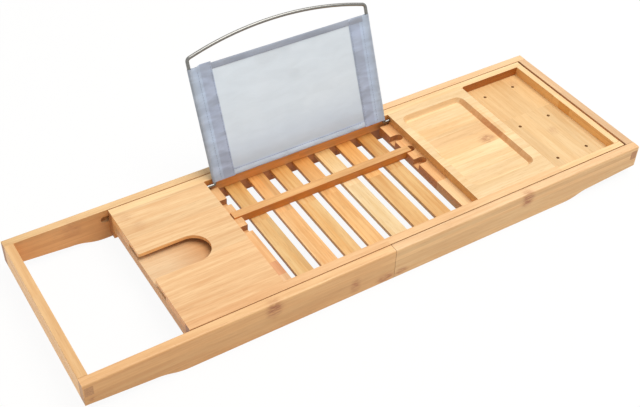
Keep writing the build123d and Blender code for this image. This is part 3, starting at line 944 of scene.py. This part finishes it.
# %% Carry the section up the wire
ROWS = 40
SLEEVE_BOTTOM = mm(3.0)
FLAP_TOP = mm(136.6)
FLAP_COLUMNS = 11
BAND_COLUMNS = 7
SLEEVE_COLUMNS = 28
FOLDED_EDGE_COLUMNS = 5
RIPPLES_PER_METRE = (45, 95)
PULLS_PER_METRE = (22, 30)
EDGE_RADIANS_PER_METRE = 420
points, faces = [], []
last = len(section) - 1
for column, (across, out) in enumerate(section):
    from_leg = distance_from_leg(across)
    inside = smooth((from_leg - mm(14)) / mm(30))
    low = cloth_bottom + (SLEEVE_BOTTOM - cloth_bottom) * (1 - smooth((from_leg - mm(3)) / mm(5)))
    high = FLAP_TOP if column < FLAP_COLUMNS and from_leg > mm(8) else cloth_top
    on_folded_edge = min(column, last - column) <= FOLDED_EDGE_COLUMNS
    for row in range(ROWS + 1):
        up = low + (high - low) * row / ROWS
        gathered = unevenness(across, up, RIPPLES_PER_METRE, 3.7) * mm(0.28)
        ripple = gathered * (1 - inside) * smooth(from_leg / mm(6))
        pull = unevenness(across, up, PULLS_PER_METRE, 9.1) * mm(0.35) * inside
        edge_ripple = mm(0.08) * sin(up * EDGE_RADIANS_PER_METRE) if on_folded_edge else 0.0
        points.append(rest_point(across, up, out + ripple + sag_at(across, up) + pull + edge_ripple))
for column in range(last):
    for row in range(ROWS):
        first = column * (ROWS + 1) + row
        faces.append((first, first + ROWS + 1, first + ROWS + 2, first + 1))
cloth_mesh = bpy.data.meshes.new("rest_cloth_sheet")
cloth_mesh.from_pydata(points, [], faces)
for layer in (panel_cloth, band_cloth, sleeve_cloth):
    cloth_mesh.materials.append(layer)
for face in cloth_mesh.polygons:
    column = min(face.index // ROWS, last - 1 - face.index // ROWS)
    face.use_smooth = True
    face.material_index = 1 if column < BAND_COLUMNS else 2 if column < SLEEVE_COLUMNS else 0
cloth = bpy.data.objects.new("rest_cloth_sheet", cloth_mesh)
bpy.context.scene.collection.objects.link(cloth)
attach(cloth, "reading_rest")
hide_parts("rest_cloth")
print("the sheet has", len(faces), "faces; the band turns", round(UNDER_WIDTH * 1000, 1), "mm under")

# %% [markdown]
# ### Hems
#
# The top and bottom edges are folded over and sewn. They could be more rows of the sheet, but a hem is
# thicker than the panel and has a tone of its own, so each one is a ribbon of the same cloth, folded over
# the panel's edge. The bottom one has its raw edge turned in once more, which leaves a darker line along
# its upper side. The top one is lifted where it runs on over the right band.

# %% Fold the hems over the edges
HEM_STEPS = 44
BORDER_WIDTH = mm(1.3)
BORDER_STRIPS = (0, 3)
PUCKERS_PER_METRE = (60, 40)


def hem_profile(edge, depth, front_gap):
    direction = 1 if depth > 0 else -1
    border = direction * BORDER_WIDTH
    return [
        (edge + depth, front_gap),
        (edge + depth - border, front_gap + mm(0.1)),
        (edge + depth * 0.5, front_gap + mm(0.12)),
        (edge + border * 0.8, front_gap),
        (edge, 0.0),
        (edge + direction * mm(0.5), -mm(0.4)),
        (edge + depth * 0.5, -mm(0.45)),
        (edge + depth, -mm(0.4)),
    ]


def folded_hem(name, left, right, edge, depth, front_gap, cloth_layer, border_layer, over_band=0.0):
    profile = hem_profile(edge, depth, front_gap)
    hem_points, hem_faces = [], []
    for step in range(HEM_STEPS + 1):
        share = step / HEM_STEPS
        across = left + (right - left) * share
        pucker = unevenness(across, edge, PUCKERS_PER_METRE, 5.5) * mm(0.22)
        raised = over_band * smooth((across - right_leg + BAND_WIDTH + mm(1.5)) / mm(3))
        for up, out in profile:
            on_free_side = depth > 0 and abs(up - edge) > abs(depth) * 0.8
            dip = -depth * 0.10 * sin(pi * share) if on_free_side else 0.0
            lift = raised if out > 0 else 0.0
            hem_points.append(rest_point(across, up + dip, out + pucker + sag_at(across, up) + lift))
    count = len(profile)
    for step in range(HEM_STEPS):
        for strip in range(count - 1):
            first = step * count + strip
            hem_faces.append((first, first + 1, first + count + 1, first + count))
    mesh = bpy.data.meshes.new(name)
    mesh.from_pydata(hem_points, [], hem_faces)
    mesh.materials.append(cloth_layer)
    mesh.materials.append(border_layer)
    for face in mesh.polygons:
        face.use_smooth = True
        face.material_index = 1 if face.index % (count - 1) in BORDER_STRIPS else 0
    hem = bpy.data.objects.new(name, mesh)
    bpy.context.scene.collection.objects.link(hem)
    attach(hem, "reading_rest")
    return hem


TOP_HEM_DEPTH, BOTTOM_HEM_DEPTH = mm(-7.2), mm(8.4)
top_hem = folded_hem(
    "rest_cloth_top_hem", left_leg + mm(7), right_leg - mm(7), mm(134.9), TOP_HEM_DEPTH, mm(0.55),
    top_hem_cloth, top_hem_cloth, over_band=mm(0.65),
)
bottom_hem = folded_hem(
    "rest_cloth_bottom_hem", left_leg + mm(9), right_leg - mm(9), mm(2.5), BOTTOM_HEM_DEPTH, mm(0.45),
    bottom_hem_cloth, band_cloth,
)
print("hems", round(-TOP_HEM_DEPTH * 1000, 1), "and", round(BOTTOM_HEM_DEPTH * 1000, 1), "mm deep")

# %% [markdown]
# ### Stitches
#
# Every fold is held by a row of machine stitches about 3 mm long. A pattern on the cloth could hint at
# them, but thread stands up and casts a small shadow. So each stitch is a short, round-ended length of
# thread that dips into the cloth at both ends: five rings of six points, given by their place along the
# stitch, their size and how far they rise. All stitches together make one mesh.

# %% One stitch
THREAD_RADIUS = mm(0.17)
THREAD_SIDES = 6
STITCH_RINGS = ((0.0, 0.25, -0.4), (0.18, 0.9, 0.35), (0.5, 1.0, 0.7), (0.82, 0.9, 0.35), (1.0, 0.25, -0.4))
FACES_PER_STITCH = (len(STITCH_RINGS) - 1) * THREAD_SIDES + 2
stitch_points, stitch_faces = [], []


def add_stitch(start, end, lift):
    along = (end - start).normalized()
    side = along.cross(lift).normalized()
    base = len(stitch_points)
    end_ring = base + (len(STITCH_RINGS) - 1) * THREAD_SIDES
    for share, size, rise in STITCH_RINGS:
        centre = start.lerp(end, share) + lift * THREAD_RADIUS * rise
        for step in range(THREAD_SIDES):
            turn = 2 * pi * step / THREAD_SIDES
            stitch_points.append(centre + (side * cos(turn) + lift * sin(turn)) * THREAD_RADIUS * size)
    for ring in range(base, end_ring, THREAD_SIDES):
        for step in range(THREAD_SIDES):
            one, two = ring + step, ring + (step + 1) % THREAD_SIDES
            stitch_faces.append((one, two, two + THREAD_SIDES, one + THREAD_SIDES))
    stitch_faces.append(tuple(base + step for step in range(THREAD_SIDES - 1, -1, -1)))
    stitch_faces.append(tuple(end_ring + step for step in range(THREAD_SIDES)))


print("one stitch has", FACES_PER_STITCH, "faces")

# %% [markdown]
# ### Seams
#
# Each side has two seams, one along the inner edge of the band and one close to the leg, and each hem has
# one. A seam is a row of stitches between two places on the cloth, a little above the layer it holds.

# %% Sew the seams
STITCH_LENGTH = mm(2.3)
STITCH_PITCH = mm(3.1)
SIDE_SEAMS = (
    (BAND_WIDTH - mm(1.6), mm(5), mm(133), mm(1.02)),
    (mm(8.5), mm(6), mm(132), mm(1.15)),
)
HEM_SEAMS = ((mm(128.8), mm(0.78)), (mm(9.4), mm(0.68)))


def sew(start, end, above):
    (across_1, up_1), (across_2, up_2) = start, end
    length = ((across_2 - across_1) ** 2 + (up_2 - up_1) ** 2) ** 0.5
    for number in range(int(length / STITCH_PITCH)):
        ends = []
        for place in (number * STITCH_PITCH, number * STITCH_PITCH + STITCH_LENGTH):
            share = place / length
            across = across_1 + (across_2 - across_1) * share
            up = up_1 + (up_2 - up_1) * share
            ends.append(rest_point(across, up, above + sag_at(across, up)))
        add_stitch(ends[0], ends[1], out_of_the_rest)


for leg, inward in ((left_leg, 1), (right_leg, -1)):
    for from_leg, low, high, above in SIDE_SEAMS:
        sew((leg + inward * from_leg, low), (leg + inward * from_leg, high), above)
for up, above in HEM_SEAMS:
    sew((left_leg + BAND_WIDTH + mm(2), up), (right_leg - BAND_WIDTH - mm(2), up), above)
print(len(stitch_faces) // FACES_PER_STITCH, "stitches")

# %% [markdown]
# ### Thread
#
# Seams like these are sewn with spun polyester, a blue-grey here. It is twisted from short fibres, so it
# is dull. Its twist is too fine to show, so it is drawn as slanting bands 0.4 mm apart. The stitches are
# then made into one mesh with this finish, which rides on the reading rest with the sheet and the hems.

# %% Thread, and the finished cloth
TWIST_SCALE = 900.0
thread, tree = empty_finish("spun_polyester_thread")
place = add_node(tree, "TexCoord")
twist = add_node(
    tree, "TexWave", {"bands_direction": "DIAGONAL"}, Vector=place.outputs["Object"], Scale=TWIST_SCALE
)
tone = add_node(
    tree, "Mix", {"data_type": "RGBA"}, _0=twist.outputs[1], _6=linear("#8B93A6"), _7=linear("#A1A9BB")
)
shader = add_node(tree, "BsdfPrincipled", Base_Color=tone.outputs[2], Roughness=0.6)
add_node(tree, "OutputMaterial", Surface=shader.outputs[0])
stitch_mesh = bpy.data.meshes.new("rest_cloth_stitches")
stitch_mesh.from_pydata(stitch_points, [], stitch_faces)
stitch_mesh.materials.append(thread)
for face in stitch_mesh.polygons:
    face.use_smooth = True
stitches = bpy.data.objects.new("rest_cloth_stitches", stitch_mesh)
bpy.context.scene.collection.objects.link(stitches)
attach(stitches, "reading_rest")

# %% [markdown]
# ## Floor
#
# The picture has a plain white ground. Leaving the ground out would lose the trace of shadow under the
# caddy, so the floor is a pale plane that keeps it. Where it is seen directly, mirrored or through the
# cloth, most of it glows at exactly white, and the remainder is an ordinary painted surface.

# %% White ground
FLOOR_GAP = mm(0.3)
GLOW = 0.93


def seen_directly(tree):
    path = add_node(tree, "LightPath")
    seen = path.outputs["Is Camera Ray"]
    for ray in ("Is Transmission Ray", "Is Glossy Ray"):
        seen = add_node(tree, "Math", {"operation": "MAXIMUM"}, _0=seen, _1=path.outputs[ray]).outputs[0]
    return seen


floor_mesh = bpy.data.meshes.new("floor")
floor_mesh.from_pydata([(-20, -20, 0), (20, -20, 0), (20, 20, 0), (-20, 20, 0)], [], [(0, 1, 2, 3)])
floor = bpy.data.objects.new("floor", floor_mesh)
floor.location.z = -FLOOR_GAP
bpy.context.scene.collection.objects.link(floor)
paint, tree = empty_finish("matt_white_painted_floor")
glow_share = add_node(tree, "Math", {"operation": "MULTIPLY"}, _0=seen_directly(tree), _1=GLOW)
matt = add_node(tree, "BsdfDiffuse", Color=linear("#F6F3EC"))
glow = add_node(tree, "Emission", Color=linear("#FFFFFF"), Strength=1.0)
ground = add_node(tree, "MixShader", _0=glow_share.outputs[0], _1=matt.outputs[0], _2=glow.outputs[0])
add_node(tree, "OutputMaterial", Surface=ground.outputs[0])
floor_mesh.materials.append(paint)
print("the floor lies", round(FLOOR_GAP * 1000, 1), "mm under the caddy")

# %% [markdown]
# ## Light
#
# The light in the picture is very soft. One wide lamp overhead gives the tops their brightness and leaves
# the long front face a tone darker, and a pale sky fills the rest. The sky shows as plain white where it
# is seen directly, like the ground, so that no horizon divides them.

# %% Sky and lamp
SKY_STRENGTH = 0.55
LAMP_POWER = 41
lamp_place = Vector((0.65, -0.25, 2.1))
lamp_target = Vector((0.05, 0, 0))
world = bpy.data.worlds.new("studio")
bpy.context.scene.world = world
world.use_nodes = True
tree = world.node_tree
tree.nodes.clear()
sky = add_node(tree, "Background", Color=linear("#F8F9FD"), Strength=SKY_STRENGTH)
white = add_node(tree, "Background", Color=linear("#FFFFFF"), Strength=1.0)
chosen = add_node(tree, "MixShader", _0=seen_directly(tree), _1=sky.outputs[0], _2=white.outputs[0])
add_node(tree, "OutputWorld", Surface=chosen.outputs[0])
softbox = bpy.data.lights.new("softbox_overhead", "AREA")
softbox.shape = "RECTANGLE"
softbox.size = 1.6
softbox.size_y = 1.6
softbox.energy = LAMP_POWER
softbox.color = linear("#FFFCF8")[:3]
lamp = bpy.data.objects.new("softbox_overhead", softbox)
lamp.location = lamp_place
lamp.rotation_euler = (lamp_target - lamp_place).to_track_quat("-Z", "Y").to_euler()
bpy.context.scene.collection.objects.link(lamp)
bpy.context.scene.view_settings.view_transform = "Standard"
print("the lamp hangs", round((lamp_place - lamp_target).length, 2), "m away, with", LAMP_POWER, "W")
